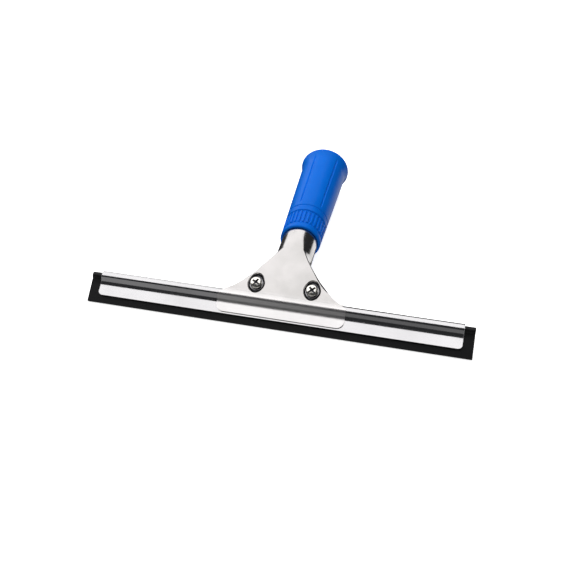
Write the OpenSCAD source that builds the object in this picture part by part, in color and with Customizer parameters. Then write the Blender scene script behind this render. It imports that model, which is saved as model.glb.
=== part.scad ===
// Window cleaning squeegee, lying face up on a flat surface.
// Model axes: x along the blade, y along the handle away from the blade, z up from the surface.
// Blade axes: x along the blade, y towards its rear, z up the blade from the wiping edge.
// The handle lies level and touches the surface with its end rim; the blade leans at blade_tilt.

/* [Rubber] */
// Length of the rubber
rubber_l = 255; // [200:1:450]
// Thickness of the wiping lip
rubber_t = 2; // [1.8:0.1:2.1]
// Radius of the bead along the top of the rubber
bead_r = 2.35; // [2.2:0.05:2.8]

/* [Channel] */
// Length of the steel channel
channel_l = 241.2; // [190:0.1:440]
// Sheet thickness of the channel
channel_t = 0.8; // [0.6:0.1:1]
// Inner radius of the tunnel that holds the bead
tunnel_r = 2.8; // [2.7:0.1:3.2]
// Height of the tunnel's centre above the wiping edge
tunnel_z = 18.3; // [17:0.1:20]
// Length of each lip below the neck
lip_l = 6.6; // [4:0.1:8]
// Angle at which the lips flare away from the rubber
lip_flare = 6; // [0:1:8]

/* [Bracket] */
// Sheet thickness of the bracket and the rear jaw
sheet_t = 1; // [0.8:0.1:1.2]
// Width of the band that grips the channel
band_w = 84.6; // [80:0.1:100]
// Corner radius at the foot of the band
band_corner_r = 5; // [3:0.5:5]
// How far the bracket sits off the middle of the blade
bracket_offset = 3.5; // [-20:0.5:20]
// Angle between the yoke plate and the plane of the blade
plate_tilt = 8; // [4:1:12]
// Outer radius of the rolled neck
neck_r = 12.3; // [11:0.1:12.5]
// Distance from the wiping edge to the end of the neck, along the handle
neck_end_y = 112; // [100:1:120]

/* [Screws] */
// Distance of each screw from the middle of the bracket
screw_x = 18.6; // [16:0.1:20]
// Distance of the screws up the plate from the channel
screw_d = 9.2; // [9.2:0.1:12]
// Depth of the dimples that take the screw heads
dimple_depth = 2.2; // [1.8:0.1:2.6]

/* [Handle] */
// Angle of the blade to the surface that the tool lies on
blade_tilt = 35.4; // [33:0.1:38]
// Distance from the wiping edge to the near end of the grip
grip_y0 = 70.8; // [68:0.1:75]
// Length of the grip
grip_l = 95; // [90:0.1:100]
// Radius of the grip's end rim
rim_r = 18.4; // [17.8:0.1:19]
// Radius of the pole socket in the end of the grip
socket_r = 11; // [10:0.1:12]
// Depth of the pole socket
socket_l = 50; // [40:1:50]
// Number of long grooves around the grip
groove_count = 6; // [4:1:8]
// How far the grip is turned on the neck
grip_turn = 8; // [-30:1:30]
// Number of short ribs around the grip's collar
rib_count = 30; // [20:1:36]

/* [Hidden] */

$fn = 64;
overlap = 0.5;          // how far a cut runs past the face that it opens
drill_l = 10;           // more than the depth of any screw hole from the plate
jaw_gap = 0.05;         // gap between the channel and the jaws that grip it
arc_steps = 6;          // straight steps in each small bend of a section
flank_tilt = 31;        // how far the tunnel's flanks face downwards
flank_l = 0.3;          // straight part of each flank
neck_bend_r = 8;        // inner surface radius of the bend below each flank
band_inset = 1.1;       // how far the band stops short of the channel's lip

blade_lift = rubber_t / 2 * cos(blade_tilt);
blade_reach = rubber_t / 2 * sin(blade_tilt);
mid_y = (grip_y0 + grip_l - blade_reach) / 2;   // middle of the whole tool along y

flank_na = 180 + flank_tilt;    // angles of the outward normals in a section, 180 faces forward
lip_na = 180 - lip_flare;
plate_na = 180 - plate_tilt;
tunnel_c = [0, tunnel_z];
bend_c = tunnel_c + polar(tunnel_r + neck_bend_r, flank_na) + polar(flank_l, flank_na + 90);

// Screw hardware for an M4 thread
thread_r = 2;
clearance_r = 2.25;
nut_bore_r = 2.05;
screw_l = 10.2;
head_r = 4;
head_h = 2.6;
recess_w = 0.9;
recess_l = 4.6;
recess_depth = 1.4;
flat_washer_r = 4.5;
flat_washer_t = 0.8;
spring_washer_r = 3.8;
spring_washer_t = 0.9;
washer_bore_r = 2.15;
nut_across_flats = 7;
nut_h = 3.2;
dimple_floor_r = 4.8;
dimple_rim_r = 5.9;
stack_gap = 0.02;       // gap between parts that are screwed together

// Yoke plate: distances d run along its front surface from the channel's tunnel
jaw_o = channel_t + jaw_gap;            // offset of a jaw's inner surface from the tunnel's
jaw_r = tunnel_r + jaw_o + sheet_t;     // outer radius of a jaw over the tunnel
neck_bend_big_r = 30;   // radius of the bend from the plate to the neck
yoke_root_w = 39.6;     // half width of the plate's taper at its foot
yoke_taper = 1.155;     // how fast each edge closes in at the foot
yoke_curve = 0.0091;    // how fast that taper dies away
fillet_d = 7;           // where the fillet above the band ends
fold_d0 = 4;            // where the plate's edges start to fold down
fold_d1 = 24;           // where they stand square to the plate
fold_min_r = 1.6;       // sharpest bend between the plate and its folded sides
round_d0 = 36;          // where that bend starts to open into the neck's roundness
round_d1 = 56;
edge_min_w = 7.5;       // half width at which the plate's edges run out on the neck
waist_blend = 0.8;      // how softly the folded sides run into the neck's
side_d0 = 20;           // where the folded sides start to grow
side_d1 = 40;           // where they have their full height
wide_root_l = 0.3;      // least length of the bend between shoulder and side
close_d0 = 36;          // where the sides start to close below
close_d1 = 56;          // where the rolled neck is closed
close_angle = 88.4;     // turn of each side below, which leaves a thin seam
close_root_l = 0.2;
least_l = 0.08;         // least length of the section's other parts
flat_angle = 0.01;
bend_columns = 5;       // facets across each bend
plate_turn = blade_tilt - plate_tilt;   // angle between the plate and the neck
plate_foot = tunnel_c + polar(jaw_r, plate_na);
neck_crown = (neck_r - least_l - fold_min_r) * (1 - cos(asin(edge_min_w / neck_r)));
neck_line_z = rim_r + neck_r - neck_crown - blade_lift;     // the plate's line, below the neck's crown
foot_rise = plate_foot[1] * sin(blade_tilt) - plate_foot[0] * cos(blade_tilt);
plate_l = (neck_line_z - foot_rise) / sin(plate_turn) - neck_bend_big_r * tan(plate_turn / 2);
bend_l = neck_bend_big_r * plate_turn * PI / 180;
foot_y = plate_foot[1] * cos(blade_tilt) + plate_foot[0] * sin(blade_tilt);
neck_l = neck_end_y - foot_y - plate_l * cos(plate_turn) - neck_bend_big_r * sin(plate_turn);
function polar(r, a) = r * [cos(a), sin(a)];
function arc(c, r, a0, a1, n, first = 0) = [for (i = [first:n]) c + polar(r, a0 + (a1 - a0) * i / n)];
function mix(a, b, t) = a + (b - a) * t;
function clamp01(t) = min(1, max(0, t));
function smooth(t) = 3 * pow(clamp01(t), 2) - 2 * pow(clamp01(t), 3);
function reversed(p) = [for (i = [len(p) - 1:-1:0]) p[i]];
function mirrored(p) = [for (q = p) [-q[0], q[1]]];

// Front half of a folded section, o outside the tunnel's inner surface, from angle a0 down to the lip
function section(o, a0, lip) = concat(
    arc(tunnel_c, tunnel_r + o, a0, flank_na, 2 * arc_steps),
    arc(bend_c, o - neck_bend_r, flank_na, lip_na, arc_steps),
    [bend_c - polar(neck_bend_r - o, lip_na) + polar(lip, lip_na + 90)]);

// Places a shape drawn in blade axes, with the blade leaning on the surface
module leaning() {
    translate([0, -mid_y, blade_lift]) rotate([blade_tilt - 90, 0, 0]) children();
}

// Extrudes a section drawn in blade axes along the blade
module along_blade(length) {
    rotate([90, 0, 90]) linear_extrude(length, center = true) children();
}

// Moves to the yoke plate: x along the blade, y up the plate, z out of its front
module on_plate(x, d) {
    leaning() translate([bracket_offset, plate_foot[0], plate_foot[1]])
        rotate([90 - plate_tilt, 0, 0]) translate([x, d, 0]) children();
}

module rubber_blade() {
    color("#202124") leaning() along_blade(rubber_l) {
        translate([-rubber_t / 2, 0]) square([rubber_t, tunnel_z]);
        translate(tunnel_c) circle(bead_r);
    }
}

module blade_channel() {
    outer = section(channel_t, 90, lip_l);
    inner = section(0, 90, lip_l);
    color("silver") leaning() along_blade(channel_l)
        polygon(concat(reversed(outer), mirrored(outer), reversed(mirrored(inner)), inner));
}

// Stations along the front bracket, each [y, z, normal angle] and the section across the sheet
band_l = lip_l - band_inset;
band_o = jaw_o + sheet_t;
lip_top = bend_c - polar(neck_bend_r - band_o, lip_na);
function corner_station(a) = let (rise = band_corner_r * (1 - cos(a)))
    concat(lip_top + polar(band_l - rise, lip_na + 90),
        [lip_na], across_flat(band_w / 2 - band_corner_r * (1 - sin(a))));
function band_station(c, r, a) = concat(c + polar(r, a), [a], across_flat(band_w / 2));
function plate_point(d) = d <= plate_l ? concat(plate_foot + polar(d, plate_na - 90), [plate_na])
    : let (turned = min(plate_turn, (d - plate_l) / neck_bend_big_r * 180 / PI),
        na = plate_na - turned,
        c = plate_foot + polar(plate_l, plate_na - 90) - polar(neck_bend_big_r, plate_na),
        run = max(0, d - plate_l - bend_l))
    concat(c + polar(neck_bend_big_r, na) + polar(run, na - 90), [na]);
function yoke_half_w(d) = let (t = min(d, close_d1)) yoke_root_w - yoke_taper * t + yoke_curve * t * t
    + (band_w / 2 - yoke_root_w) * pow(1 - pow(min(d, fillet_d) / fillet_d, 2), 2);

// Half section across the sheet: a flat middle, a shoulder, a wider bend down to the straight side
// and a closing bend, as [crown of the middle, flat, shoulder radius, shoulder angle, wider radius,
// side angle, side, closing radius, closing angle]. The edge of the plate lies on the shoulder.
function bend_r(length, turn) = length * 180 / PI / turn;
function across(half_w, r, shoulder, turn, side, close) =
    let (shoulder_r = r * 90 / turn, wide = turn - shoulder,
        wide_r = bend_r(max(wide_root_l, half_w * wide * PI / 180), wide),
        close_l = max(close_root_l, neck_r * close * PI / 180))
    [(r - fold_min_r) * (1 - cos(shoulder)),
        half_w - shoulder_r * sin(shoulder) - wide_r * (sin(turn) - sin(shoulder))
            - (side + close_l) * cos(turn),
        shoulder_r, shoulder, wide_r, turn, side, bend_r(close_l, close), close];
function across_flat(half_w) =
    across(half_w, fold_min_r, flat_angle, 2 * flat_angle, least_l, flat_angle);
function outer_half_w(d) = let (t = yoke_half_w(d) - neck_r)
    neck_r + (t > waist_blend ? t : t < -waist_blend ? 0 : pow(t + waist_blend, 2) / (4 * waist_blend));
function plate_section(d) =
    let (half_w = outer_half_w(d), edge_w = min(half_w, max(edge_min_w, yoke_half_w(d))),
        r = mix(fold_min_r, neck_r - least_l, smooth((d - round_d0) / (round_d1 - round_d0))),
        turn = max(2 * flat_angle, 90 * smooth((d - fold_d0) / (fold_d1 - fold_d0))),
        shoulder = min(turn - flat_angle, turn / 90 * asin(edge_w / half_w)),
        side = (neck_r - fold_min_r) * (1 - cos(shoulder)) - neck_crown)
    across(half_w, r, shoulder, turn,
        max(least_l, side * smooth((d - side_d0) / (side_d1 - side_d0))),
        max(flat_angle, close_angle * smooth((d - close_d0) / (close_d1 - close_d0))));
function plate_station(d) = concat(plate_point(d), plate_section(d));

stations = concat(
    [for (i = [0:arc_steps]) corner_station(i * 90 / arc_steps)],
    [for (i = [0:arc_steps])
        band_station(bend_c, band_o - neck_bend_r, mix(lip_na, flank_na, i / arc_steps))],
    [for (i = [0:arc_steps - 1])
        band_station(tunnel_c, jaw_r, mix(flank_na, plate_na, i / arc_steps))],
    [for (d = [0, 1, 2, 3, fold_d0, 5, 6, 7, 8.5, 10, 12, 14, 16, 18, 19.5]) plate_station(d)],
    [for (i = [0:2 * arc_steps]) plate_station(plate_l + bend_l * i / arc_steps / 2)],
    [for (d = [36.5, 38, 39.5, 41, 42.5, 44, 46, 48, 50, 53, close_d1, plate_l + bend_l + neck_l])
        plate_station(d)]);

// Points along a bend that leaves p at angle a0 and turns on by da, without p itself
function bend(p, r, a0, da) = [for (i = [1:bend_columns]) let (a = a0 + da * i / bend_columns)
    [p[0] + r * (sin(a) - sin(a0)), p[1] + r * (cos(a0) - cos(a)), a]];

// Half of the sheet's outer surface at station s, from its middle out: [x, depth, angle]
function half_row(s) =
    let (shoulder = bend([s[4], -s[3]], s[5], 0, s[6]),
        wide = bend(shoulder[bend_columns - 1], s[7], s[6], s[8] - s[6]),
        side_end = wide[bend_columns - 1] + s[9] * [cos(s[8]), sin(s[8]), 0])
    concat([[0, -s[3], 0], [s[4], -s[3], 0]], shoulder, wide, [side_end],
        bend(side_end, s[10], s[8], s[11]));

// The sheet's points at station s, sunk below its outer surface
function sheet_row(s, sink) = let (half = half_row(s), last = len(half) - 1)
    [for (j = [-last:last]) let (q = half[abs(j)], x = sign(j) * (q[0] - sink * sin(q[2])),
        p = [s[0], s[1]] - polar(q[1] + sink * cos(q[2]), s[2])) [x, p[0], p[1]]];

module formed_sheet() {
    points = [for (s = stations) concat(sheet_row(s, 0), reversed(sheet_row(s, sheet_t)))];
    rows = len(points);
    ring = len(points[0]);
    columns = ring / 2 - 1;
    faces = concat(
        [for (i = [0:rows - 2], j = [0:ring - 1], half = [0, 1])
            let (a = i * ring + j, b = i * ring + (j + 1) % ring)
            half == 0 ? [a, b + ring, b] : [a, a + ring, b + ring]],
        [for (j = [0:columns - 1], half = [0, 1], end = [0, (rows - 1) * ring])
            let (a = end + j, b = end + j + 1, c = end + ring - 2 - j, d = end + ring - 1 - j,
                face = half == 0 ? [a, b, c] : [a, c, d])
            end == 0 ? face : reversed(face)]);
    polyhedron([for (row = points, p = row) p], faces);
}

module dimple(grow) {
    translate([0, 0, -dimple_depth - grow])
        cylinder(dimple_depth + grow, dimple_floor_r + grow, dimple_rim_r + grow);
}

module front_bracket() {
    color("gainsboro") difference() {
        union() {
            leaning() translate([bracket_offset, 0, 0]) formed_sheet();
            for (side = [-1, 1]) on_plate(side * screw_x, screw_d) intersection() {
                dimple(sheet_t);
                translate([0, 0, -drill_l - sheet_t / 2]) cylinder(drill_l, drill_l, drill_l);
            }
        }
        for (side = [-1, 1]) on_plate(side * screw_x, screw_d) {
            translate([0, 0, -dimple_depth])
                cylinder(dimple_depth + overlap, dimple_floor_r, dimple_rim_r);
            translate([0, 0, -drill_l]) cylinder(drill_l, clearance_r, clearance_r);
        }
    }
}

// Rear jaw: wraps over the tunnel from behind and stands up flat behind the dimples
jaw_face_n = jaw_r - dimple_depth - sheet_t - stack_gap;   // its front face, ahead of the tunnel's centre
jaw_bend_r = 1.2;       // inner radius of the bend from the tunnel to the flat
jaw_wrap = acos((jaw_face_n - sheet_t - jaw_bend_r) / (jaw_r + jaw_bend_r));
jaw_bend_c = tunnel_c + polar(jaw_r + jaw_bend_r, plate_na - jaw_wrap);
jaw_d = 17;             // how far the jaw stands up along the plate
jaw_w = 79;             // width of the jaw along the blade
jaw_margin = 2.5;       // how far its sloping edges stay inside the bracket's
jaw_reach = 30;         // more than the jaw's height below the plate
function jaw_path(o) = let (flank = mirrored(section(o, 90, band_l)))
    concat(reversed([for (i = [2 * arc_steps + 1:len(flank) - 1]) flank[i]]),
        arc(tunnel_c, tunnel_r + o, 180 - flank_na, plate_na - jaw_wrap, 2 * arc_steps),
        arc(jaw_bend_c, o - band_o - jaw_bend_r, plate_na - jaw_wrap, plate_na - 180, arc_steps, 1),
        [tunnel_c + polar(jaw_face_n + jaw_o - o, plate_na) + polar(jaw_d, plate_na - 90)]);
jaw_edge = [for (d = [0, 3, 7, 12, jaw_d - 1]) [yoke_half_w(d) - jaw_margin, d]];
jaw_outline = concat([[jaw_w, -jaw_reach], [jaw_w, -1]], jaw_edge,
    [[jaw_edge[4][0] - 2, jaw_d + 1]]);

module rear_jaw() {
    color("silver") difference() {
        intersection() {
            leaning() translate([bracket_offset, 0, 0]) along_blade(jaw_w)
                polygon(concat(jaw_path(jaw_o), reversed(jaw_path(band_o))));
            on_plate(0, 0) translate([0, 0, -jaw_reach]) linear_extrude(2 * jaw_reach)
                polygon(concat(jaw_outline, reversed(mirrored(jaw_outline))));
        }
        for (side = [-1, 1]) on_plate(side * screw_x, screw_d)
            translate([0, 0, -jaw_reach]) cylinder(jaw_reach, clearance_r, clearance_r);
    }
}

// Grip: a turned outline with its own z from the near end, collar first
grip_root_r = 14.15;
grip_taper = 2.5 / 84;          // growth of the radius along the grip
flare_z = grip_l - 12;          // where the end flare starts
edge_r = 1.2;
ring_groove = 0.5;              // depth of the grooves between the collar's rings
rib_z0 = 5.6;
rib_z1 = 18.6;
rib_w = 1.4;
neck_bore_r = neck_r + 0.1;     // the grip is pressed on the neck
neck_bore_l = neck_end_y - grip_y0 + 0.3;
plain_l = 4;                    // plain ring at the near end
ring_z0 = 20;                   // raised ring behind the ribs
ring_z1 = 24;
ring_slope = 0.4;               // length of the slope at each side of a ring groove
rim_edge = 0.8;                 // rounding of the end rim
rim_land = 0.6;                 // straight part before it
mouth_l = 7.4;                  // funnel at the mouth of the pole socket
mouth_r = 15.2;
long_groove_z0 = 31;
long_groove_z1 = 83;
long_groove_w = 1.3;
long_groove_depth = 0.6;
function grip_r(z) = grip_root_r + grip_taper * z;
flare_r = rim_r - grip_r(flare_z);
grip_outline = concat(
    [[neck_bore_r, 0]],
    arc([grip_r(0) - edge_r, edge_r], edge_r, -90, 0, 4),
    [[grip_r(plain_l), plain_l], [grip_r(plain_l) - ring_groove, plain_l + ring_slope],
        [grip_r(ring_z0) - ring_groove, ring_z0 - ring_slope], [grip_r(ring_z0), ring_z0],
        [grip_r(ring_z1), ring_z1], [grip_r(ring_z1) - ring_groove, ring_z1 + ring_slope],
        [grip_r(ring_z1) - ring_groove, ring_z1 + 2 * ring_slope],
        [grip_r(ring_z1), ring_z1 + 3 * ring_slope]],
    [for (t = [0:0.125:1])
        [grip_r(flare_z) + flare_r * t * t, mix(flare_z, grip_l - rim_edge - rim_land, t)]],
    [[rim_r, grip_l - rim_edge], [rim_r - rim_edge, grip_l], [mouth_r, grip_l],
        [socket_r, grip_l - mouth_l], [socket_r, grip_l - socket_l],
        [0, grip_l - socket_l], [0, neck_bore_l], [neck_bore_r, neck_bore_l]]);

// Places a shape whose z runs along the handle from the near end of the grip
module on_handle() {
    translate([bracket_offset, grip_y0 - mid_y, rim_r]) rotate([-90, grip_turn, 0]) children();
}

module grip() {
    color("#0a48c8") on_handle() difference() {
        union() {
            rotate_extrude() polygon(grip_outline);
            for (i = [0:rib_count - 1]) rotate(i * 360 / rib_count)
                translate([0, -rib_w / 2, rib_z0])
                    cube([grip_r(rib_z0) + 0.1, rib_w, rib_z1 - rib_z0]);
        }
        translate([0, 0, -overlap]) cylinder(neck_bore_l + overlap, neck_bore_r, neck_bore_r);
        translate([0, 0, grip_l - socket_l]) cylinder(socket_l, socket_r, socket_r);
        for (i = [0:groove_count - 1]) rotate((i + 0.5) * 360 / groove_count - 90)
            translate([grip_r(long_groove_z0) - long_groove_depth, 0, long_groove_z0])
                rotate([0, atan(grip_taper), 0]) translate([0, -long_groove_w / 2, 0])
                    cube([5, long_groove_w, long_groove_z1 - long_groove_z0]);
    }
}

// Screw stack: heights above the plate's front surface
flat_washer_z = stack_gap - dimple_depth;
spring_washer_z = flat_washer_z + flat_washer_t + stack_gap;
head_z = spring_washer_z + spring_washer_t + stack_gap;
nut_z = -dimple_depth - 2 * (sheet_t + stack_gap) - nut_h;
head_edge_h = 1.2;              // height of the head's straight edge
thread_chamfer = 0.4;
function dome(t) = [head_r * cos(t * 90), head_edge_h + (head_h - head_edge_h) * sin(t * 90)];

module screw(side) {
    color("lightgray") on_plate(side * screw_x, screw_d) translate([0, 0, head_z]) difference() {
        rotate_extrude() polygon(concat([[0, -screw_l], [thread_r - thread_chamfer, -screw_l],
            [thread_r, thread_chamfer - screw_l], [thread_r, 0], [head_r, 0]],
            [for (t = [0:0.2:1]) dome(t)]));
        for (a = [45, 135]) rotate(a) translate([-recess_l / 2, -recess_w / 2, head_h - recess_depth])
            cube([recess_l, recess_w, recess_depth + overlap]);
    }
}

module washer(side, z, r, t) {
    on_plate(side * screw_x, screw_d) translate([0, 0, z]) difference() {
        cylinder(t, r, r);
        translate([0, 0, -overlap]) cylinder(t + 2 * overlap, washer_bore_r, washer_bore_r);
    }
}

module spring_washer(side) {
    split = 0.8;    // gap between its two ends
    color("gray") difference() {
        washer(side, spring_washer_z, spring_washer_r, spring_washer_t);
        on_plate(side * screw_x, screw_d) translate([0, -split / 2, spring_washer_z - overlap])
            cube([2 * spring_washer_r, split, spring_washer_t + 2 * overlap]);
    }
}

module flat_washer(side) {
    color("silver") washer(side, flat_washer_z, flat_washer_r, flat_washer_t);
}

module nut(side) {
    color("lightgray") on_plate(side * screw_x, screw_d) translate([0, 0, nut_z]) difference() {
        cylinder(nut_h, d = nut_across_flats / cos(30), $fn = 6);
        translate([0, 0, -overlap]) cylinder(nut_h + 2 * overlap, nut_bore_r, nut_bore_r);
    }
}

module left_screw() { screw(-1); }
module right_screw() { screw(1); }
module left_spring_washer() { spring_washer(-1); }
module right_spring_washer() { spring_washer(1); }
module left_flat_washer() { flat_washer(-1); }
module right_flat_washer() { flat_washer(1); }
module left_nut() { nut(-1); }
module right_nut() { nut(1); }

rubber_blade();
blade_channel();
front_bracket();
rear_jaw();
grip();
left_screw();
right_screw();
left_spring_washer();
right_spring_washer();
left_flat_washer();
right_flat_washer();
left_nut();
right_nut();
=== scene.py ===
import math

import bpy
import numpy as np
from mathutils import Matrix, Vector


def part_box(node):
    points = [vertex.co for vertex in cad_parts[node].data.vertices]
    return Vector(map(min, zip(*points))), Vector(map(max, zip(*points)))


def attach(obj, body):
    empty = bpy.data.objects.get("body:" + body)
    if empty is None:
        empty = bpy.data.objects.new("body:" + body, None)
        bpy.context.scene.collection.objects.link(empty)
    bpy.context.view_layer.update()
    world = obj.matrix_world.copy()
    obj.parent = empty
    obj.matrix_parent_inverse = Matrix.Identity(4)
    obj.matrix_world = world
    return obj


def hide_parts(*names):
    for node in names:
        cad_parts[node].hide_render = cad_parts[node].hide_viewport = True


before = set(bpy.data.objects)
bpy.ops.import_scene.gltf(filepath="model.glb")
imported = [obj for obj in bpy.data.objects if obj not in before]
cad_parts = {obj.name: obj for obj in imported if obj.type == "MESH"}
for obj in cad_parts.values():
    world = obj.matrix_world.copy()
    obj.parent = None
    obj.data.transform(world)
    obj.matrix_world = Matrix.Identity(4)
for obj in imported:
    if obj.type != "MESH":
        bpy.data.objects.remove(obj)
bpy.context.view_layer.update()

# ---------------------------------------------------------------- the design, in millimetres
MM = 0.001
BLADE_TILT = 35.4          # angle between the blade and the floor
PLATE_TILT = 8.0           # angle between the yoke plate and the blade
RUBBER_T = 2.0
BEAD_R = 2.35
TUNNEL_R = 2.8             # inner radius of the channel's tunnel
TUNNEL_Z = 18.3            # its centre above the wiping edge
CHANNEL_T = 0.8
LIP_L = 6.6
LIP_FLARE = 6.0
FLANK_TILT = 31.0
FLANK_L = 0.3
NECK_BEND_R = 8.0
JAW_GAP = 0.05
SHEET_T = 1.0
BAND_INSET = 1.1
DIMPLE_DEPTH = 2.2
NECK_R = 12.3
GRIP_TURN = 8.0
SCREW_D = 9.2              # height of the screws on the plate, from its foot
SCREW_PITCH = 0.7
CLEARANCE_R = 2.25

rubber_lo, rubber_hi = (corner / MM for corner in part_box("rubber_blade"))
channel_lo, channel_hi = (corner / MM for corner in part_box("blade_channel"))
bracket_lo, bracket_hi = (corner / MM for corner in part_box("front_bracket"))
jaw_lo, jaw_hi = (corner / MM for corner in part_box("rear_jaw"))
grip_lo, grip_hi = (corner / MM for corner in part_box("grip"))
screw_lo, screw_hi = (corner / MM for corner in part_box("right_screw"))

BAND_W = bracket_hi.x - bracket_lo.x
BRACKET_X = (bracket_hi.x + bracket_lo.x) / 2
SCREW_X = (screw_hi.x + screw_lo.x) / 2 - BRACKET_X
RIM_R = (grip_hi.z - grip_lo.z) / 2
GRIP_L = grip_hi.y - grip_lo.y

FLANK_NA = 180 + FLANK_TILT        # angles of outward normals in a section; 180 faces forward
LIP_NA = 180 - LIP_FLARE
PLATE_NA = 180 - PLATE_TILT
JAW_O = CHANNEL_T + JAW_GAP
BAND_O = JAW_O + SHEET_T
JAW_R = TUNNEL_R + BAND_O


def polar(r, a):
    return np.array([r * math.cos(math.radians(a)), r * math.sin(math.radians(a))])


TUNNEL_C = np.array([0.0, TUNNEL_Z])
BEND_C = TUNNEL_C + polar(TUNNEL_R + NECK_BEND_R, FLANK_NA) + polar(FLANK_L, FLANK_NA + 90)
PLATE_FOOT = TUNNEL_C + polar(JAW_R, PLATE_NA)
COS_TILT = math.cos(math.radians(BLADE_TILT))
SIN_TILT = math.sin(math.radians(BLADE_TILT))
BLADE_Y = rubber_lo.y + RUBBER_T / 2 * SIN_TILT
BLADE_Z = RUBBER_T / 2 * COS_TILT


def lean(points):
    """Blade axes (x along the blade, y to its rear, z up it) to the row frame."""
    p = np.asarray(points, float)
    return np.stack([p[..., 0], BLADE_Y + p[..., 2] * COS_TILT + p[..., 1] * SIN_TILT,
                     BLADE_Z + p[..., 2] * SIN_TILT - p[..., 1] * COS_TILT], -1)


def on_plate(points, x, d):
    """Plate axes (x along the blade, y up the plate, z out of its front) at (x, d) to the row frame."""
    p = np.asarray(points, float)
    up, out = polar(1, PLATE_NA - 90), polar(1, PLATE_NA)
    foot = PLATE_FOOT + up * d
    yz = foot + p[..., 1, None] * up + p[..., 2, None] * out
    return lean(np.concatenate([p[..., :1] + x + BRACKET_X, yz], -1))


def on_handle(points):
    """Handle axes (z along the handle from the grip's near end, turned as the grip is) to the row frame."""
    p = np.asarray(points, float)
    c, s = math.cos(math.radians(GRIP_TURN)), math.sin(math.radians(GRIP_TURN))
    return np.stack([p[..., 0] * c - p[..., 1] * s + BRACKET_X, p[..., 2] + grip_lo.y,
                     -p[..., 0] * s - p[..., 1] * c + RIM_R], -1)


def smooth(t):
    t = np.clip(t, 0, 1)
    return t * t * (3 - 2 * t)


# ---------------------------------------------------------------- mesh tools
DRILL_Z = (-9, -1)         # ends of the drill, measured out from the plate's face
EDGE_ANGLE = 45            # least angle of an edge that is rounded


def circle(r, a, z):
    """Points at radius r and angles a (radians) around z, at height z."""
    return np.stack([r * np.cos(a), r * np.sin(a), 0 * a + z], 1)


def int_faces(faces):
    return [list(map(int, face)) for face in faces]


def drill(obj):
    """Cuts the clearance holes for both screws square to the plate."""
    angles = np.linspace(0, 2 * math.pi, 48, endpoint=False)
    faces, points = [], []
    for side in (-1, 1):
        loops = np.array([circle(CLEARANCE_R, angles, z) for z in DRILL_Z])
        faces += [tuple(i + len(points) for i in face) for face in loft(loops)]
        points += (on_plate(loops, side * SCREW_X, SCREW_D).reshape(-1, 3) * MM).tolist()
    mesh = bpy.data.meshes.new("drill")
    mesh.from_pydata(points, [], int_faces(faces))
    cutter = bpy.data.objects.new("drill", mesh)
    bpy.context.scene.collection.objects.link(cutter)
    mod = obj.modifiers.new("holes", "BOOLEAN")
    mod.operation = "DIFFERENCE"
    mod.solver = "EXACT"
    mod.object = cutter
    drilled = bpy.data.meshes.new_from_object(obj.evaluated_get(bpy.context.evaluated_depsgraph_get()))
    obj.modifiers.clear()
    obj.data = drilled
    bpy.data.objects.remove(cutter)


def piece(name, points, faces, body, node, material, bevel=0.0, creases=35, pressed=None, holes=False):
    """A mesh piece from points in row millimetres. It stands for one CAD node and rides on its body.

    pressed is an amount at each point, from 0 to 1, that the steel's material reads to paint shade in
    recesses.
    """
    mesh = bpy.data.meshes.new(name)
    mesh.from_pydata((np.asarray(points).reshape(-1, 3) * MM).tolist(), [], int_faces(faces))
    if pressed is not None:
        amounts = mesh.attributes.new("pressed", "FLOAT", "POINT")
        amounts.data.foreach_set("value", pressed.astype(np.float32))
    mesh.materials.append(material)
    mesh.validate()
    mesh.update()
    obj = bpy.data.objects.new(name, mesh)
    bpy.context.scene.collection.objects.link(obj)
    if holes:
        drill(obj)
        mesh = obj.data
    for polygon in mesh.polygons:
        polygon.use_smooth = True
    mesh.set_sharp_from_angle(angle=math.radians(creases))
    if bevel:
        mod = obj.modifiers.new("edges", "BEVEL")
        mod.width = bevel * MM
        mod.segments = 2
        mod.limit_method = "ANGLE"
        mod.angle_limit = math.radians(max(EDGE_ANGLE, creases + 5))
        mod.harden_normals = True
    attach(obj, body)
    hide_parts(node)


def loft(loops, closed=False):
    """Faces between successive closed loops of equal length, with flat caps unless closed into a ring."""
    rows, cols = np.asarray(loops).shape[:2]
    faces = []
    for i in range(rows if closed else rows - 1):
        k = (i + 1) % rows
        for j in range(cols):
            m = (j + 1) % cols
            faces.append((i * cols + j, i * cols + m, k * cols + m, k * cols + j))
    if not closed:
        faces.append(tuple(range(cols - 1, -1, -1)))
        faces.append(tuple((rows - 1) * cols + j for j in range(cols)))
    return faces


def sheet_faces(rows, cols):
    """Faces of a sheet whose every row is cols outer points and then cols inner points, reversed."""
    ring = 2 * cols
    faces = []
    for i in range(rows - 1):
        for j in range(ring):
            m = (j + 1) % ring
            faces.append((i * ring + j, i * ring + m, (i + 1) * ring + m, (i + 1) * ring + j))
    for start, flip in ((0, True), ((rows - 1) * ring, False)):
        for j in range(cols - 1):
            face = (start + j, start + j + 1, start + ring - 2 - j, start + ring - 1 - j)
            faces.append(face[::-1] if flip else face)
    return faces


def turned(outline, steps):
    """Loops of a shape turned about z from (radius, z) points."""
    angles = np.linspace(0, 2 * math.pi, steps, endpoint=False)
    return np.array([[[r * math.cos(a), r * math.sin(a), z] for a in angles] for r, z in outline])


# ---------------------------------------------------------------- sections of the folded blade
BEND_STEPS = 12
CORNER_STEPS = 8
BLADE_STATIONS = 25


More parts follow.
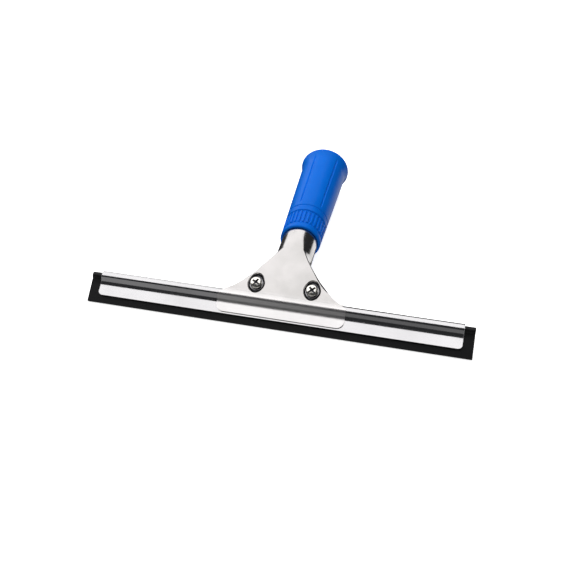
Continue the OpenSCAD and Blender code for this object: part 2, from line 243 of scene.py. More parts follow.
def section(o, a0, lip):
    """Front half of the folded section, o outside the tunnel's inner surface: (y, z, normal angle)."""
    rows = []
    for a in np.linspace(a0, FLANK_NA, 2 * BEND_STEPS + 1):
        rows.append([*(TUNNEL_C + polar(TUNNEL_R + o, a)), a])
    for a in np.linspace(FLANK_NA, LIP_NA, BEND_STEPS + 1):
        rows.append([*(BEND_C - polar(NECK_BEND_R - o, a)), a])
    top = BEND_C - polar(NECK_BEND_R - o, LIP_NA)
    for t in np.linspace(0.2, 1, 5):
        rows.append([*(top + polar(lip * t, LIP_NA + 90)), LIP_NA])
    return np.array(rows)


def end_stations(length, corner_r):
    """Positions along the blade, and how far its lips are cut back at each for round corners."""
    a = np.radians(np.linspace(0, 90, CORNER_STEPS + 1))
    inset = corner_r * (1 - np.cos(a))
    cut = corner_r * (1 - np.sin(a))
    middle = np.linspace(-1, 1, BLADE_STATIONS)[1:-1] * (length / 2 - corner_r)
    x = np.concatenate([-length / 2 + inset, middle, (length / 2 - inset)[::-1]])
    return x, np.concatenate([cut, 0 * middle, cut[::-1]])


# ---------------------------------------------------------------- materials
class Nodes:
    """A short way to write a node tree."""

    def __init__(self, name):
        self.material = bpy.data.materials.new(name)
        self.material.use_nodes = True
        self.tree = self.material.node_tree
        self.shader = self.tree.nodes["Principled BSDF"]

    def add(self, kind, **values):
        node = self.tree.nodes.new(kind)
        for key, value in values.items():
            if hasattr(node, key) and key not in node.inputs:
                setattr(node, key, value)
            else:
                node.inputs[key].default_value = value
        return node

    def link(self, out, into):
        self.tree.links.new(out, into)

    def coords(self, scale):
        place = self.add("ShaderNodeTexCoord")
        mapping = self.add("ShaderNodeMapping")
        mapping.inputs["Scale"].default_value = scale
        self.link(place.outputs["Object"], mapping.inputs["Vector"])
        return mapping.outputs["Vector"]

    def noise(self, scale, detail=3.0, size=(1, 1, 1)):
        node = self.add("ShaderNodeTexNoise", Scale=scale, Detail=detail)
        self.link(self.coords(size), node.inputs["Vector"])
        return node.outputs["Fac"]

    def spread(self, value, low, high, from_low=0.3, from_high=0.7):
        node = self.add("ShaderNodeMapRange")
        for key, v in (("From Min", from_low), ("From Max", from_high), ("To Min", low), ("To Max", high)):
            node.inputs[key].default_value = v
        self.link(value, node.inputs["Value"])
        return node.outputs["Result"]

    def blend(self, fac, a, b):
        node = self.add("ShaderNodeMix", data_type="RGBA")
        for socket, value in ((6, a), (7, b)):
            if hasattr(value, "is_linked"):
                self.link(value, node.inputs[socket])
            else:
                node.inputs[socket].default_value = value
        self.link(fac, node.inputs[0])
        return node.outputs[2]

    def bump(self, height, strength, distance):
        node = self.add("ShaderNodeBump", Strength=strength, Distance=distance)
        self.link(height, node.inputs["Height"])
        return node.outputs["Normal"]

    def out(self, socket, value):
        if hasattr(value, "is_linked"):
            self.link(value, self.shader.inputs[socket])
        else:
            self.shader.inputs[socket].default_value = value


def steel(name, light, dark, rough, grain, grain_depth, smudge=0.03, polish_and_sheen=None, shade_recesses=False):
    """Stainless steel: a grain stretched along one way, soft smudges in colour and roughness.

    The next to last argument is (y from, y to, change, colour): between two places along the handle the
    roughness changes by that much and the steel takes on that colour, a painted sheen that makes the band
    lighter. The last argument paints shade: the steel is darker where it is pressed in.
    """
    n = Nodes(name)
    streak = n.noise(1.0, 4.0, grain)
    cloud = n.noise(38.0, 3.0)
    n.out("Metallic", 1.0)
    colour = n.blend(n.spread(cloud, 0, 1), light, dark)
    add = n.add("ShaderNodeMath", operation="ADD")
    n.link(n.spread(streak, rough - smudge, rough + smudge), add.inputs[0])
    n.link(n.spread(cloud, -smudge, smudge), add.inputs[1])
    rough_socket = add.outputs[0]
    if polish_and_sheen:
        split = n.add("ShaderNodeSeparateXYZ")
        n.link(n.coords((1, 1, 1)), split.inputs[0])
        # painted sheen: the steel on the band's side of these places is painted a lighter colour
        colour = n.blend(n.spread(split.outputs["Y"], 1, 0, polish_and_sheen[0], polish_and_sheen[1]), colour, polish_and_sheen[3])
        more = n.add("ShaderNodeMath", operation="ADD")
        n.link(n.spread(split.outputs["Y"], 0, polish_and_sheen[2], polish_and_sheen[0], polish_and_sheen[1]), more.inputs[0])
        n.link(rough_socket, more.inputs[1])
        rough_socket = more.outputs[0]
    if shade_recesses:
        # painted shade: the steel is blended towards a dark colour where it is pressed in
        pressed = n.add("ShaderNodeAttribute", attribute_name="pressed")
        colour = n.blend(pressed.outputs["Fac"], colour, RECESS_SHADE_COLOUR)
    n.out("Base Color", colour)
    n.out("Roughness", rough_socket)
    n.out("Normal", n.bump(streak, 0.2, grain_depth))
    return n.material


def rubber_material():
    n = Nodes("black_rubber")
    fine = n.noise(2600.0, 3.0)
    cloud = n.noise(60.0, 3.0, (0.3, 1, 1))
    black, worn_black = (0.0015, 0.0015, 0.002, 1), (0.003, 0.003, 0.004, 1)
    n.out("Base Color", n.blend(n.spread(cloud, 0, 1), black, worn_black))
    n.out("Roughness", n.spread(cloud, 0.42, 0.6))
    n.out("Specular IOR Level", 0.3)
    n.out("Normal", n.bump(fine, 0.15, 0.00002))
    return n.material


def plastic_material():
    n = Nodes("blue_plastic")
    cloud = n.noise(45.0, 3.0)
    blue, light_blue = (0.001, 0.138, 0.66, 1), (0.001, 0.15, 0.71, 1)
    n.out("Base Color", n.blend(n.spread(cloud, 0, 1), blue, light_blue))
    n.out("Roughness", n.spread(cloud, 0.28, 0.35))
    n.out("Specular IOR Level", 0.09)
    n.out("IOR", 1.38)
    return n.material


# painted shade: the colour that steel takes on in its dimples and recesses
RECESS_SHADE_COLOUR = (0.09, 0.09, 0.1, 1)
BAND_SHEEN_NECK_POLISH = (-0.072, -0.066, -0.11, (0.85, 0.83, 0.83, 1))     # painted sheen: the band's steel is lighter; the plate and neck are smoother
channel_steel = steel("channel_steel", (0.64, 0.63, 0.64, 1), (0.59, 0.58, 0.59, 1), 0.15,
                      (30, 2000, 2000), 0.000002)
# bracket steel: painted sheen on the band, painted shade in the dimples
bracket_steel = steel("bracket_steel", (0.64, 0.615, 0.61, 1), (0.5, 0.485, 0.475, 1), 0.31,
                      (300, 40, 300), 0.000002, 0.02, BAND_SHEEN_NECK_POLISH, shade_recesses=True)
# the screw heads get painted shade in their cross recesses
nickel = steel("nickel", (0.95, 0.92, 0.86, 1), (0.88, 0.85, 0.79, 1), 0.22, (900, 900, 900), 0.000004,
               shade_recesses=True)
zinc = steel("zinc", (0.5, 0.5, 0.52, 1), (0.42, 0.42, 0.45, 1), 0.3, (900, 900, 900), 0.000006)
rubber = rubber_material()
blue_plastic = plastic_material()


# ---------------------------------------------------------------- rubber and channel
RUBBER_EDGE = 0.12         # small chamfer along the wiping edge and the foot of the bead
CHANNEL_CORNER_R = 3.0
CHANNEL_EDGE = 0.15        # rounding of the channel's cut edges
BRACKET_EDGE = 0.12


def build_rubber():
    """A strip with a round bead along its top, joined to it by small fillets."""
    half = RUBBER_T / 2
    join = math.degrees(math.asin(half / BEAD_R))
    side = [[BEAD_R * math.cos(math.radians(a)), TUNNEL_Z + BEAD_R * math.sin(math.radians(a))]
            for a in np.linspace(90, -90 + join + 10, 22)]
    foot_z = TUNNEL_Z - BEAD_R * math.cos(math.radians(join))
    side += [[half + RUBBER_EDGE, foot_z - 0.05], [half, foot_z - 0.5], [half, foot_z - 5], [half, 5.0],
             [half, RUBBER_EDGE], [half - RUBBER_EDGE, 0.0]]
    side = np.array(side)
    ring = np.concatenate([side, (side * [-1, 1])[::-1][:-1]])
    x = np.concatenate([[0, 0.05, 0.15], np.linspace(0, 1, 41)[1:-1] * (rubber_hi.x - rubber_lo.x),
                        rubber_hi.x - rubber_lo.x - np.array([0.15, 0.05, 0])]) + rubber_lo.x
    loops = np.array([[[xi, y, z] for y, z in ring] for xi in x])
    piece("rubber_strip", lean(loops), loft(loops), "rubber", "rubber_blade", rubber)


def build_channel():
    length = channel_hi.x - channel_lo.x
    x, cut = end_stations(length, CHANNEL_CORNER_R)
    loops = []
    for xi, c in zip(x, cut):
        outer = section(CHANNEL_T, 90, LIP_L - c)[:, :2]
        inner = section(0, 90, LIP_L - c)[:, :2]
        rear = [-1, 1]
        ring = np.concatenate([outer[::-1], (outer * rear)[1:], (inner * rear)[::-1], inner[1:]])
        loops.append([[xi, y, z] for y, z in ring])
    loops = np.array(loops)
    piece("channel_shell", lean(loops), loft(loops), "channel", "blade_channel", channel_steel,
          CHANNEL_EDGE)


# ---------------------------------------------------------------- front bracket
PLATE_TURN = BLADE_TILT - PLATE_TILT
BIG_BEND_R = 30.0
FOLD_D0, FOLD_D1 = 4.0, 24.0          # where the plate's edges start to fold down and stand square
FOLD_MIN_R = 1.6
ROUND_D0, ROUND_D1 = 36.0, 56.0        # where that bend opens into the neck's roundness
EDGE_MIN_W = 7.5                       # half width at which the plate's edges run out on the neck
WAIST_BLEND = 0.8
SIDE_D0, SIDE_D1 = 20.0, 40.0          # where the folded sides grow to their full height
WIDE_ROOT_L = 0.3
CLOSE_D0, CLOSE_D1 = 36.0, 56.0        # where the sides start to close below and meet
CLOSE_ANGLE = 88.4
CLOSE_ROOT_L = 0.2
LEAST_L = 0.08
FLAT_ANGLE = 0.01
CORNER_R = 5.0
NECK_CROWN = (NECK_R - LEAST_L - FOLD_MIN_R) * (1 - math.cos(math.asin(EDGE_MIN_W / NECK_R)))
NECK_LINE = RIM_R + NECK_R - NECK_CROWN - BLADE_Z
FOOT_RISE = PLATE_FOOT[1] * SIN_TILT - PLATE_FOOT[0] * COS_TILT
FOOT_Y = PLATE_FOOT[1] * COS_TILT + PLATE_FOOT[0] * SIN_TILT
PLATE_L = ((NECK_LINE - FOOT_RISE) / math.sin(math.radians(PLATE_TURN))
           - BIG_BEND_R * math.tan(math.radians(PLATE_TURN / 2)))
BEND_L = BIG_BEND_R * math.radians(PLATE_TURN)
NECK_L = (bracket_hi.y - BLADE_Y - FOOT_Y - PLATE_L * math.cos(math.radians(PLATE_TURN))
          - BIG_BEND_R * math.sin(math.radians(PLATE_TURN)))
FLAT_COLUMNS, SHOULDER_COLUMNS, WIDE_COLUMNS, SIDE_COLUMNS, CLOSE_COLUMNS = 140, 16, 14, 6, 20
YOKE_ROOT_W, YOKE_TAPER, YOKE_CURVE = 39.6, 1.155, 0.0091      # half width = root - taper d + curve d^2
FILLET_D = 7.0                         # height over which the yoke widens into the band
BRACKET_CREASE = 80


def yoke_half_w(d):
    """Half width of the yoke plate at a distance d up from its foot."""
    d = min(d, CLOSE_D1)
    fillet = (1 - (min(max(d, 0), FILLET_D) / FILLET_D) ** 2) ** 2
    return YOKE_ROOT_W - YOKE_TAPER * d + YOKE_CURVE * d * d + (BAND_W / 2 - YOKE_ROOT_W) * fillet


def outer_half_w(d):
    """The plate's half width, running softly into the neck's."""
    t = yoke_half_w(d) - NECK_R
    if abs(t) < WAIST_BLEND:
        return NECK_R + (t + WAIST_BLEND) ** 2 / (4 * WAIST_BLEND)
    return NECK_R + max(t, 0)


def rise(d, d0, d1):
    return float(smooth((d - d0) / (d1 - d0)))


def across(half_w, r, shoulder, turn, side, close):
    """Half section across the sheet, from its middle out: x, depth and angle of the outer surface.

    A flat, a shoulder bend, a wider bend down to the straight side, and a closing bend.
    """
    shoulder, turn, close = math.radians(shoulder), math.radians(turn), math.radians(close)
    shoulder_r = r * math.pi / 2 / turn
    wide_r = max(WIDE_ROOT_L, half_w * (turn - shoulder)) / (turn - shoulder)
    close_l = max(CLOSE_ROOT_L, NECK_R * close)
    flat = (half_w - shoulder_r * math.sin(shoulder) - wide_r * (math.sin(turn) - math.sin(shoulder))
            - (side + close_l) * math.cos(turn))
    crown = (r - FOLD_MIN_R) * (1 - math.cos(shoulder))
    out = [[flat * i / FLAT_COLUMNS, -crown, 0] for i in range(FLAT_COLUMNS + 1)]

    def bend(radius, to, columns):
        x, depth, start = out[-1]
        for i in range(1, columns + 1):
            a = start + (to - start) * i / columns
            out.append([x + radius * (math.sin(a) - math.sin(start)),
                        depth + radius * (math.cos(start) - math.cos(a)), a])

    bend(shoulder_r, shoulder, SHOULDER_COLUMNS)
    bend(wide_r, turn, WIDE_COLUMNS)
    x, depth = out[-1][:2]
    for i in range(1, SIDE_COLUMNS + 1):
        run = side * i / SIDE_COLUMNS
        out.append([x + run * math.cos(turn), depth + run * math.sin(turn), turn])
    bend(close_l / close, turn + close, CLOSE_COLUMNS)
    half = np.array(out)
    return np.concatenate([(half * [-1, 1, -1])[:0:-1], half])


def across_flat(half_w):
    return across(half_w, FOLD_MIN_R, FLAT_ANGLE, 2 * FLAT_ANGLE, LEAST_L, FLAT_ANGLE)


def plate_row(d):
    """The sheet at distance d up the plate: y, z, normal angle, section across, half width, d."""
    if d <= PLATE_L:
        p, na = PLATE_FOOT + polar(d, PLATE_NA - 90), PLATE_NA
    else:
        turned_by = min(PLATE_TURN, math.degrees((d - PLATE_L) / BIG_BEND_R))
        na = PLATE_NA - turned_by
        centre = PLATE_FOOT + polar(PLATE_L, PLATE_NA - 90) - polar(BIG_BEND_R, PLATE_NA)
        p = centre + polar(BIG_BEND_R, na) + polar(max(0, d - PLATE_L - BEND_L), na - 90)
    half_w = outer_half_w(d)
    edge_w = min(half_w, max(EDGE_MIN_W, yoke_half_w(d)))
    r = FOLD_MIN_R + (NECK_R - LEAST_L - FOLD_MIN_R) * rise(d, ROUND_D0, ROUND_D1)
    turn = max(2 * FLAT_ANGLE, 90 * rise(d, FOLD_D0, FOLD_D1))
    shoulder = min(turn - FLAT_ANGLE, turn / 90 * math.degrees(math.asin(edge_w / half_w)))
    side = (NECK_R - FOLD_MIN_R) * (1 - math.cos(math.radians(shoulder))) - NECK_CROWN
    side = max(LEAST_L, side * rise(d, SIDE_D0, SIDE_D1))
    close = max(FLAT_ANGLE, CLOSE_ANGLE * rise(d, CLOSE_D0, CLOSE_D1))
    return p[0], p[1], na, across(half_w, r, shoulder, turn, side, close), half_w, d


def band_rows():
    """The band from its foot up over the tunnel's front, with the same six values and d below zero."""
    band_l = LIP_L - BAND_INSET
    top = BEND_C - polar(NECK_BEND_R - BAND_O, LIP_NA)
    rows = []
    for a in np.linspace(0, 90, 11):
        up = CORNER_R * (1 - math.cos(math.radians(a)))
        w = BAND_W / 2 - CORNER_R * (1 - math.sin(math.radians(a)))
        rows.append((*(top + polar(band_l - up, LIP_NA + 90)), LIP_NA, across_flat(w), w, -30))
    w = BAND_W / 2
    for a in np.linspace(LIP_NA, FLANK_NA, 14):
        rows.append((*(BEND_C - polar(NECK_BEND_R - BAND_O, a)), a, across_flat(w), w, -20))
    for a in np.linspace(FLANK_NA, PLATE_NA, 15)[:-1]:
        rows.append((*(TUNNEL_C + polar(JAW_R, a)), a, across_flat(w), w, -10))
    return rows


DIMPLE_RIM_R = 5.9
DIMPLE_UP, DIMPLE_DOWN = 1.7, 1.0      # how much further the rim reaches up and down the plate
DIMPLE_FLOOR = 0.77                    # share of the rim's radius at which the wall starts
STRIP_DEPTH, FOOT_DEPTH = 0.34, 0.06
EDGE_SLOPE = 0.72                      # turns a distance along x into one square to the sloping edge


def dimple_depth(x, d):
    """How far the sheet is pressed in at the screws: a flat floor, steep walls, drawn out up and down."""
    dx, dd = np.abs(x) - SCREW_X, d - SCREW_D
    r = np.hypot(dx, dd)
    theta = np.arctan2(dd, dx)
    rim = DIMPLE_RIM_R + np.where(dd > 0, DIMPLE_UP, DIMPLE_DOWN) * np.sin(theta) ** 4
    return DIMPLE_DEPTH * (1 - smooth((r / rim - DIMPLE_FLOOR) / (1 - DIMPLE_FLOOR)))


def rim_step(x, d, half_w):
    """The raised middle of the plate: a narrow strip along the sloping edges lies lower."""
    from_edge = (half_w - np.abs(x)) * EDGE_SLOPE
    strip = 1 - smooth((from_edge - 2.6) / 1.8)
    foot = 1 - smooth((d - 2.2) / 1.2)
    fade = smooth((36 - d) / 12) * smooth((d + 0.5) / 1.5)
    return np.maximum(STRIP_DEPTH * strip, FOOT_DEPTH * foot) * fade


def sheet_rows(rows, press=None):
    """Outer and inner points of a bent sheet. press(x, d, half width) gives how far it is pressed in."""
    out = []
    for y, z, na, path, half_w, d in rows:
        x, sink, a = path.T
        h = press(x, d, half_w) if press else 0 * x
        normal = polar(1, na)
        surfaces = []
        for depth in (h, h + SHEET_T):
            p = np.array([y, z]) - (sink + depth * np.cos(a))[:, None] * normal
            surfaces.append(np.concatenate([(x - depth * np.sin(a))[:, None], p], 1))
        out.append(np.concatenate([surfaces[0], surfaces[1][::-1]]))
    return np.array(out)


def build_bracket():
    ds = np.concatenate([np.linspace(0, 18, 86), np.linspace(18.5, CLOSE_D1, 70),
                         np.linspace(58, PLATE_L + BEND_L + NECK_L, 12)])
    rows = band_rows() + [plate_row(d) for d in ds]

    def press(x, d, half_w):
        if d < 0:
            return 0 * x
        return dimple_depth(x, d) + rim_step(x, d, half_w)

    points = sheet_rows(rows, press) + [BRACKET_X, 0, 0]
    recess_shade = []
    for *_, path, half_w, d in rows:
        x = path[:, 0]
        # painted shade: the dimples around the screws are marked darker the deeper they are pressed
        sunk = smooth(dimple_depth(x, d) / DIMPLE_DEPTH * 1.6 - 0.3) if d >= 0 else 0 * x
        recess_shade += [sunk, 0 * x]
    faces = sheet_faces(len(rows), points.shape[1] // 2)
    piece("bracket_shell", lean(points), faces, "handle", "front_bracket", bracket_steel,
          BRACKET_EDGE, BRACKET_CREASE, np.concatenate(recess_shade), holes=True)


JAW_D = 17.0                           # how far the jaw stands up along the plate
JAW_BEND_R = 1.2
JAW_MARGIN = 2.5                       # how far its sloping edges stay inside the bracket's
JAW_TOP_R, JAW_LOW_R = 3.0, 4.0        # radii of its upper and lower corners
PLATE_GAP = 0.02


def flat_row(p, na, half_w):
    """A row of flat sheet, in the same six values as plate_row, with 0 for d."""
    x = np.linspace(-half_w, half_w, 61)
    return p[0], p[1], na, np.stack([x, 0 * x, 0 * x], 1), half_w, 0


def build_rear_jaw():
    """The jaw behind the channel: its lip, the wrap over the tunnel, the bend back and the flat."""
    face_n = JAW_R - DIMPLE_DEPTH - SHEET_T - PLATE_GAP
    wrap = math.degrees(math.acos((face_n - SHEET_T - JAW_BEND_R) / (JAW_R + JAW_BEND_R)))
    centre = TUNNEL_C + polar(JAW_R + JAW_BEND_R, PLATE_NA - wrap)
    half_w = (jaw_hi.x - jaw_lo.x) / 2
    rows = []
    lip = section(BAND_O, 90, LIP_L - BAND_INSET)[::-1]
    for y, z, na in lip[:18]:
        up = (z - lip[0][1]) / math.cos(math.radians(LIP_FLARE))
        t = min(1, up / JAW_LOW_R)
        w = half_w - JAW_LOW_R * (1 - math.sqrt(max(0, 1 - (1 - t) ** 2)))
        rows.append(flat_row([-y, z], 180 - na, w))
    for a in np.linspace(180 - FLANK_NA, PLATE_NA - wrap, 40)[1:]:
        rows.append(flat_row(TUNNEL_C + polar(JAW_R, a), a, half_w))
    for a in np.linspace(PLATE_NA - wrap, PLATE_NA - 180, 14)[1:]:
        p = centre - polar(JAW_BEND_R, a)
        d = float(np.dot(p - TUNNEL_C, polar(1, PLATE_NA - 90)))
        rows.append(flat_row(p, a, min(half_w, yoke_half_w(d) - JAW_MARGIN)))
    flat = TUNNEL_C + polar(face_n - SHEET_T, PLATE_NA)
    start = d
    for d in np.linspace(start, JAW_D, 40)[1:]:
        w = min(half_w, yoke_half_w(d) - JAW_MARGIN)
        t = max(0, (d - (JAW_D - JAW_TOP_R)) / JAW_TOP_R)
        w -= JAW_TOP_R * (1 - math.sqrt(max(0, 1 - t * t)))
        rows.append(flat_row(flat + polar(d, PLATE_NA - 90), PLATE_NA - 180, w))
    points = sheet_rows(rows) + [BRACKET_X, 0, 0]
    faces = sheet_faces(len(rows), points.shape[1] // 2)
    piece("rear_jaw_shell", lean(points), faces, "handle", "rear_jaw", bracket_steel,
          BRACKET_EDGE, holes=True)


# ---------------------------------------------------------------- grip
GRIP_ROOT_R = 14.15
GRIP_TAPER = 2.5 / 84
FLARE_Z = GRIP_L - 12
RIB_Z0, RIB_Z1 = 5.6, 18.6
RIB_COUNT = 30
GROOVE_COUNT = 6
GROOVE_Z0, GROOVE_Z1 = 27.5, 90.0
GROOVE_DEPTH, GROOVE_HALF_W = 0.75, 0.75
RIB_DEPTH = 0.95
LOW_RING_Z, HIGH_RING_Z, RING_DEPTH = 4.6, 24.9, 0.55          # the two rings around the ribbed collar
NEAR_EDGE_R, RIM_EDGE_R = 1.2, 0.8
SKIN_END = 1.4                         # the skin stops this far short of the grip's far end
MOUTH_R, MOUTH_L = 15.2, 7.4
SOCKET_R, SOCKET_L = 11.0, 50.0
AXIS_R = 0.02                          # the caps' middle points stay this far off the axis
GRIP_STEPS = 720


def valley(z, centre, half):
    """1 in the middle of a round-bottomed groove and 0 outside it."""
    t = np.clip(np.abs(z - centre) / half, 0, 1)
    return (1 - t * t) ** 2


def grip_surface(theta, z):
    """Radius of the grip's outer skin at an angle (degrees) and a distance from its near end."""
    r = GRIP_ROOT_R + GRIP_TAPER * z
    flare = np.clip((z - FLARE_Z) / (GRIP_L - SKIN_END - FLARE_Z), 0, 1)
    flare_root_r = GRIP_ROOT_R + GRIP_TAPER * FLARE_Z
    r = r + (RIM_R - flare_root_r) * flare ** 2 - GRIP_TAPER * (z - FLARE_Z) * (flare > 0)
    r = r - RING_DEPTH * valley(z, LOW_RING_Z, 0.7) - RING_DEPTH * valley(z, HIGH_RING_Z, 0.75)
    in_ribs = smooth((z - RIB_Z0 + 0.6) / 0.7) * smooth((RIB_Z1 + 0.9 - z) / 0.7)
    wave = np.cos(np.radians(theta * RIB_COUNT))
    rib = smooth((wave + 0.35) / 0.8) * smooth((z - RIB_Z0) / 0.8) * smooth((RIB_Z1 - z) / 0.8)
    r = r - RIB_DEPTH * in_ribs * (1 - rib)
    pitch = 360 / GROOVE_COUNT
    off = (theta - 90 - pitch / 2) % pitch
    off = np.minimum(off, pitch - off)
    arc = np.radians(off) * r
    along = smooth((z - GROOVE_Z0) / 4) * smooth((GROOVE_Z1 - z) / 4)
    r = r - GROOVE_DEPTH * np.clip(1 - (arc / GROOVE_HALF_W) ** 2, 0, 1) * along
    return r


def build_grip():
    """One closed skin: web at the neck's end, bore, near edge, outer skin, rim, mouth and pole socket."""
    theta = np.linspace(0, 360, GRIP_STEPS, endpoint=False)
    bore = NECK_R + 0.1
    bore_l = bracket_hi.y - grip_lo.y + 0.3
    rows = [(r, bore_l) for r in (AXIS_R, 1, 4, 8, bore - 0.3)]
    rows += [(bore, z) for z in np.linspace(bore_l, 0.5, 6)]
    rows += [(bore + 0.15, 0.1), (bore + 0.45, 0.0)]
    rows += [(GRIP_ROOT_R - NEAR_EDGE_R * (1 - math.sin(a)), NEAR_EDGE_R * (1 - math.cos(a)))
             for a in np.radians([0, 22, 45, 67])]
    skin_z = np.concatenate([np.linspace(NEAR_EDGE_R, 3.8, 5), np.linspace(4.0, 7.0, 16),
                             np.linspace(7.6, 17, 14), np.linspace(17.4, 26, 40),
                             np.linspace(27, 83, 70), np.linspace(83.6, GRIP_L - SKIN_END, 16)])
    rim_z = GRIP_L - RIM_EDGE_R
    far = [(RIM_R - RIM_EDGE_R * (1 - math.cos(a)), rim_z + RIM_EDGE_R * math.sin(a))
           for a in np.radians([0, 30, 60, 90])]
    far += [(MOUTH_R + 0.5, GRIP_L), (MOUTH_R + 0.1, GRIP_L - 0.15), (MOUTH_R - 0.2, GRIP_L - 0.5)]
    far += [(SOCKET_R + (MOUTH_R - SOCKET_R) * t, GRIP_L - MOUTH_L + (MOUTH_L - 0.6) * t)
            for t in (0.8, 0.6, 0.4, 0.2, 0.05)]
    far += [(SOCKET_R, z) for z in np.linspace(GRIP_L - MOUTH_L - 0.4, GRIP_L - SOCKET_L + 0.5, 12)]
    far += [(SOCKET_R - 0.2, GRIP_L - SOCKET_L + 0.1), (SOCKET_R - 0.6, GRIP_L - SOCKET_L)]
    far += [(r, GRIP_L - SOCKET_L) for r in (8, 4, 1, AXIS_R)]
    turn = np.radians(theta)
    loops = [circle(r, turn, z) for r, z in rows]
    loops += [circle(grip_surface(theta, z), turn, z) for z in skin_z]
    loops += [circle(r, turn, z) for r, z in far]
    loops = np.array(loops)
    piece("grip_body", on_handle(loops), loft(loops), "handle", "grip", blue_plastic, 0, 50)


# ---------------------------------------------------------------- screws, washers and nuts
FLAT_WASHER_T, SPRING_WASHER_T, STACK_GAP = 0.8, 0.9, 0.02
FLAT_WASHER_Z = STACK_GAP - DIMPLE_DEPTH
SPRING_WASHER_Z = FLAT_WASHER_Z + FLAT_WASHER_T + STACK_GAP
HEAD_Z = SPRING_WASHER_Z + SPRING_WASHER_T + STACK_GAP
HEAD_R, HEAD_H, HEAD_EDGE_H = 4.0, 2.6, 1.2
SCREW_L, THREAD_R = 10.2, 2.0
THREAD_DEPTH, POINT_TAPER = 0.28, 0.9
HEAD_EDGE = 0.15
WASHER_BORE_R, FLAT_WASHER_R, SPRING_WASHER_R = 2.15, 4.5, 3.8
SPRING_GAP = 9.0                       # half the angle between the spring washer's ends
NUT_H, NUT_FLATS = 3.2, 7.0
NUT_BORE_R, NUT_FACE_R = 2.05, 3.35
ARM_W, ARM_ROOT_W, ARM_REACH = 0.52, 0.32, 2.55                # the recess's arms, half widths and reach
ARM_DEPTH, ARM_ROOT_DEPTH = 1.3, 0.8
NUT_Z = -DIMPLE_DEPTH - 2 * (SHEET_T + STACK_GAP) - NUT_H


def cross_recess(x, y):
    """Depth of a cross recess whose four arms get wider and deeper towards the middle."""
    depth = np.zeros_like(x)
    for a, b in ((x, y), (y, x)):
        reach = np.abs(a)
        half = ARM_W + ARM_ROOT_W * np.clip(1 - reach / 1.6, 0, 1)
        wall = smooth((half + 0.1 - np.abs(b)) / 0.2)
        floor = ARM_DEPTH + ARM_ROOT_DEPTH * np.clip(1 - reach / 2.5, 0, 1)
        depth = np.maximum(depth, wall * floor * smooth((ARM_REACH - reach) / 0.2))
    return depth


def build_screw(side, turn):
    """A threaded shank and a domed head, with the cross recess turned by that many degrees."""
    steps = 128
    a = np.linspace(0, 2 * math.pi, steps, endpoint=False)
    loops, recess_shade = [], []
    for z in np.linspace(-SCREW_L, -0.3, 160):
        phase = (z / SCREW_PITCH - a / (2 * math.pi)) % 1
        cut = THREAD_DEPTH * np.abs(2 * phase - 1)
        r = np.minimum(THREAD_R - cut, THREAD_R - 0.5 + (z + SCREW_L) * POINT_TAPER)
        loops.append(circle(r, a, z))
    for r, z in ((THREAD_R, 0), (HEAD_R - HEAD_EDGE, 0), (HEAD_R, HEAD_EDGE), (HEAD_R, HEAD_EDGE_H)):
        loops.append(circle(r, a, z))
    dome = np.concatenate([np.linspace(6, 60, 10), np.degrees(np.arccos(np.linspace(0.48, 0.004, 52)))])
    for t in dome:
        r = HEAD_R * math.cos(math.radians(t))
        x, y = r * np.cos(a + math.radians(turn)), r * np.sin(a + math.radians(turn))
        sunk = cross_recess(x, y)
        z = HEAD_EDGE_H + (HEAD_H - HEAD_EDGE_H) * math.sin(math.radians(t)) - sunk
        loops.append(circle(r, a, z))
        # painted shade: the cross recess is marked darker the deeper it is sunk
        recess_shade.append(smooth(sunk / 0.9 - 0.1))
    loops = np.array(loops)
    recess_shade_at = np.zeros(loops.shape[:2])
    recess_shade_at[-len(recess_shade):] = recess_shade
    points = on_plate(loops + [0, 0, HEAD_Z], side_x(side), SCREW_D)
    piece(f"{side}_screw_body", points, loft(loops), f"{side}_screw", f"{side}_screw", nickel,
          0, 40, recess_shade_at.ravel())


def side_x(side):
    return SCREW_X if side == "right" else -SCREW_X


def ring_loops(inner, outer, z0, z1, chamfer):
    """Section of a flat ring with chamfered edges."""
    return [(inner, z0), (outer - chamfer, z0), (outer, z0 + chamfer), (outer, z1 - chamfer),
            (outer - chamfer, z1), (inner, z1)]


def build_flat_washer(side):
    outline = ring_loops(WASHER_BORE_R, FLAT_WASHER_R, FLAT_WASHER_Z, FLAT_WASHER_Z + FLAT_WASHER_T, 0.12)
    loops = turned(outline, 96)
    points = on_plate(loops, side_x(side), SCREW_D)
    piece(f"{side}_flat_ring", points, loft(loops, closed=True), f"{side}_washers",
          f"{side}_flat_washer", zinc, 0, 30)


def build_spring_washer(side):
    """A split ring: its two ends stand a little apart."""
    outline = ring_loops(WASHER_BORE_R, SPRING_WASHER_R, SPRING_WASHER_Z,
                         SPRING_WASHER_Z + SPRING_WASHER_T, 0.1)
    angles = np.radians(np.linspace(SPRING_GAP, 360 - SPRING_GAP, 73))
    loops = np.array([[[r * math.cos(a), r * math.sin(a), z] for r, z in outline] for a in angles])
    points = on_plate(loops, side_x(side), SCREW_D)
    piece(f"{side}_spring_ring", points, loft(loops), f"{side}_washers",
          f"{side}_spring_washer", zinc, 0, 30)


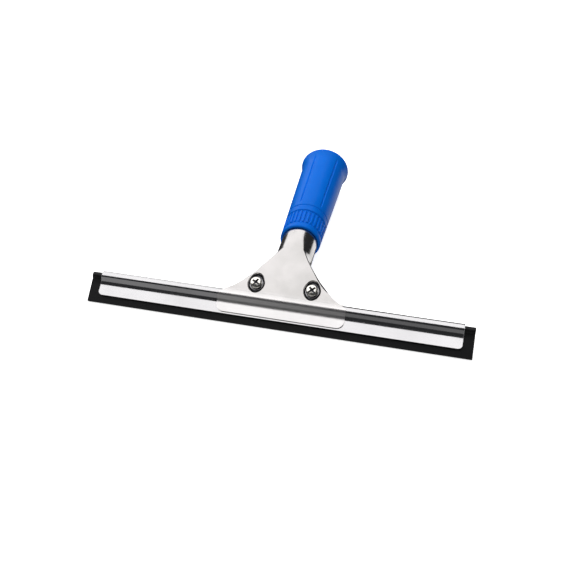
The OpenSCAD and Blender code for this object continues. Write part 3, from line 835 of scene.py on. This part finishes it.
def build_nut(side):
    """A hexagon nut with chamfered corners and bore. A radius of None follows the hexagon."""
    steps = 96
    theta = np.linspace(0, 360, steps, endpoint=False)
    hexagon = NUT_FLATS / 2 / np.cos(np.radians((theta + 30) % 60 - 30))
    loops = []
    near = ((0.2, NUT_BORE_R), (0.0, 2.3), (0.0, NUT_FACE_R), (0.12, None), (0.35, None))
    far = tuple((NUT_H - z, r) for z, r in near[::-1])
    for z, r in near + far:
        if r is None:
            limit = 3.4 + min(z, NUT_H - z) * 2.2
            ring = np.minimum(hexagon, limit)
        else:
            ring = np.full(steps, r)
        loops.append(circle(ring, np.radians(theta), z + NUT_Z))
    loops = np.array(loops)
    points = on_plate(loops, side_x(side), SCREW_D)
    piece(f"{side}_nut_body", points, loft(loops, closed=True), "handle", f"{side}_nut", nickel, 0, 30)


build_rubber()
build_channel()
build_bracket()
build_rear_jaw()
build_grip()
for side, turn in (("left", 28), ("right", 45)):
    build_screw(side, turn)
    build_flat_washer(side)
    build_spring_washer(side)
    build_nut(side)


# ---------------------------------------------------------------- stage, light and camera
FLOOR_REACH = 3.0
FLOOR_DROP = 0.0001
CAMERA_PLACE = (0.09183, -0.43524, 0.35721)
CAMERA_LENS = 49.73
CAMERA_ANGLES = (13.2, 41.17, -0.6)    # azimuth, elevation down and roll


def build_floor():
    """A pale plane. It glows a little, and the steel and plastic neither mirror it nor take its bounce."""
    mesh = bpy.data.meshes.new("floor")
    reach = FLOOR_REACH
    mesh.from_pydata([(-reach, -reach, 0), (reach, -reach, 0), (reach, reach, 0), (-reach, reach, 0)], [],
                     [(0, 1, 2, 3)])
    floor = bpy.data.objects.new("floor", mesh)
    bpy.context.scene.collection.objects.link(floor)
    n = Nodes("floor_white")
    n.out("Base Color", (0.93, 0.93, 0.93, 1))
    n.out("Roughness", 0.9)
    n.out("Specular IOR Level", 0.1)
    n.out("Emission Color", (1, 1, 1, 1))
    n.out("Emission Strength", 0.75)
    mesh.materials.append(n.material)
    floor.location.z = -FLOOR_DROP
    floor.visible_glossy = False
    floor.visible_diffuse = False


def area_light(name, place, aim, size, radiance, mirrored=True):
    """A rectangular lamp of even brightness. One that isn't mirrored leaves no highlight on the steel."""
    data = bpy.data.lights.new(name, "AREA")
    data.shape = "RECTANGLE"
    data.size, data.size_y = size
    data.energy = radiance * math.pi * size[0] * size[1]
    light = bpy.data.objects.new(name, data)
    bpy.context.scene.collection.objects.link(light)
    light.location = place
    light.rotation_euler = (Vector(aim) - Vector(place)).to_track_quat("-Z", "Y").to_euler()
    light.visible_glossy = mirrored


def build_world():
    world = bpy.data.worlds.new("studio")
    bpy.context.scene.world = world
    world.use_nodes = True
    background = world.node_tree.nodes["Background"]
    background.inputs["Color"].default_value = (0.9, 0.95, 1.0, 1)
    background.inputs["Strength"].default_value = 0.03


def build_camera():
    data = bpy.data.cameras.new("camera")
    data.lens = CAMERA_LENS
    data.sensor_width = 36
    camera = bpy.data.objects.new("camera", data)
    bpy.context.scene.collection.objects.link(camera)
    camera.location = CAMERA_PLACE
    azimuth, elevation, roll = (math.radians(angle) for angle in CAMERA_ANGLES)
    forward = Vector((-math.sin(azimuth) * math.cos(elevation), math.cos(azimuth) * math.cos(elevation),
                      -math.sin(elevation)))
    turn = forward.to_track_quat("-Z", "Y").to_matrix().to_4x4()
    camera.matrix_world = Matrix.Translation(camera.location) @ turn @ Matrix.Rotation(roll, 4, "Z")
    bpy.context.scene.camera = camera


build_floor()
build_world()
area_light("overhead", (-0.85, 0.585, 0.95), (-0.85, 0.585, 0), (2.5, 2.03), 1.42)
area_light("left_card", (-1.29, 1.53, 0.5), (0, 0, 0.3), (1.8, 0.95), 1.3)
area_light("floor_fill", (0, 0, 1.4), (0, 0, 0), (3.4, 3.4), 0.55, mirrored=False)
area_light("right_card", (0.9, 0.25, 0.25), (0, 0, 0.05), (0.35, 0.5), 1.0)
area_light("low_card", (0.47, 0.86, -0.42), (0, -0.03, 0.03), (1.0, 0.5), 1.15)
area_light("low_front_card", (0, -0.8, -0.62), (0, 0, 0.02), (2.4, 0.8), 0.9)
area_light("low_left_card", (-0.85, -0.15, -0.55), (0, 0, 0.02), (0.8, 0.7), 0.9)
area_light("low_right_card", (0.85, -0.15, -0.55), (0, 0, 0.02), (0.8, 0.7), 0.9)
area_light("front_left_card", (-1.08, -1.5, 0.42), (-1.08, 0, 0.02), (1.64, 0.84), 0.24)
area_light("front_right_card", (0.57, -1.5, 0.34), (0.57, 0, 0.02), (1.66, 0.6), 0.14)
build_camera()
bpy.context.scene.view_settings.view_transform = "Standard"
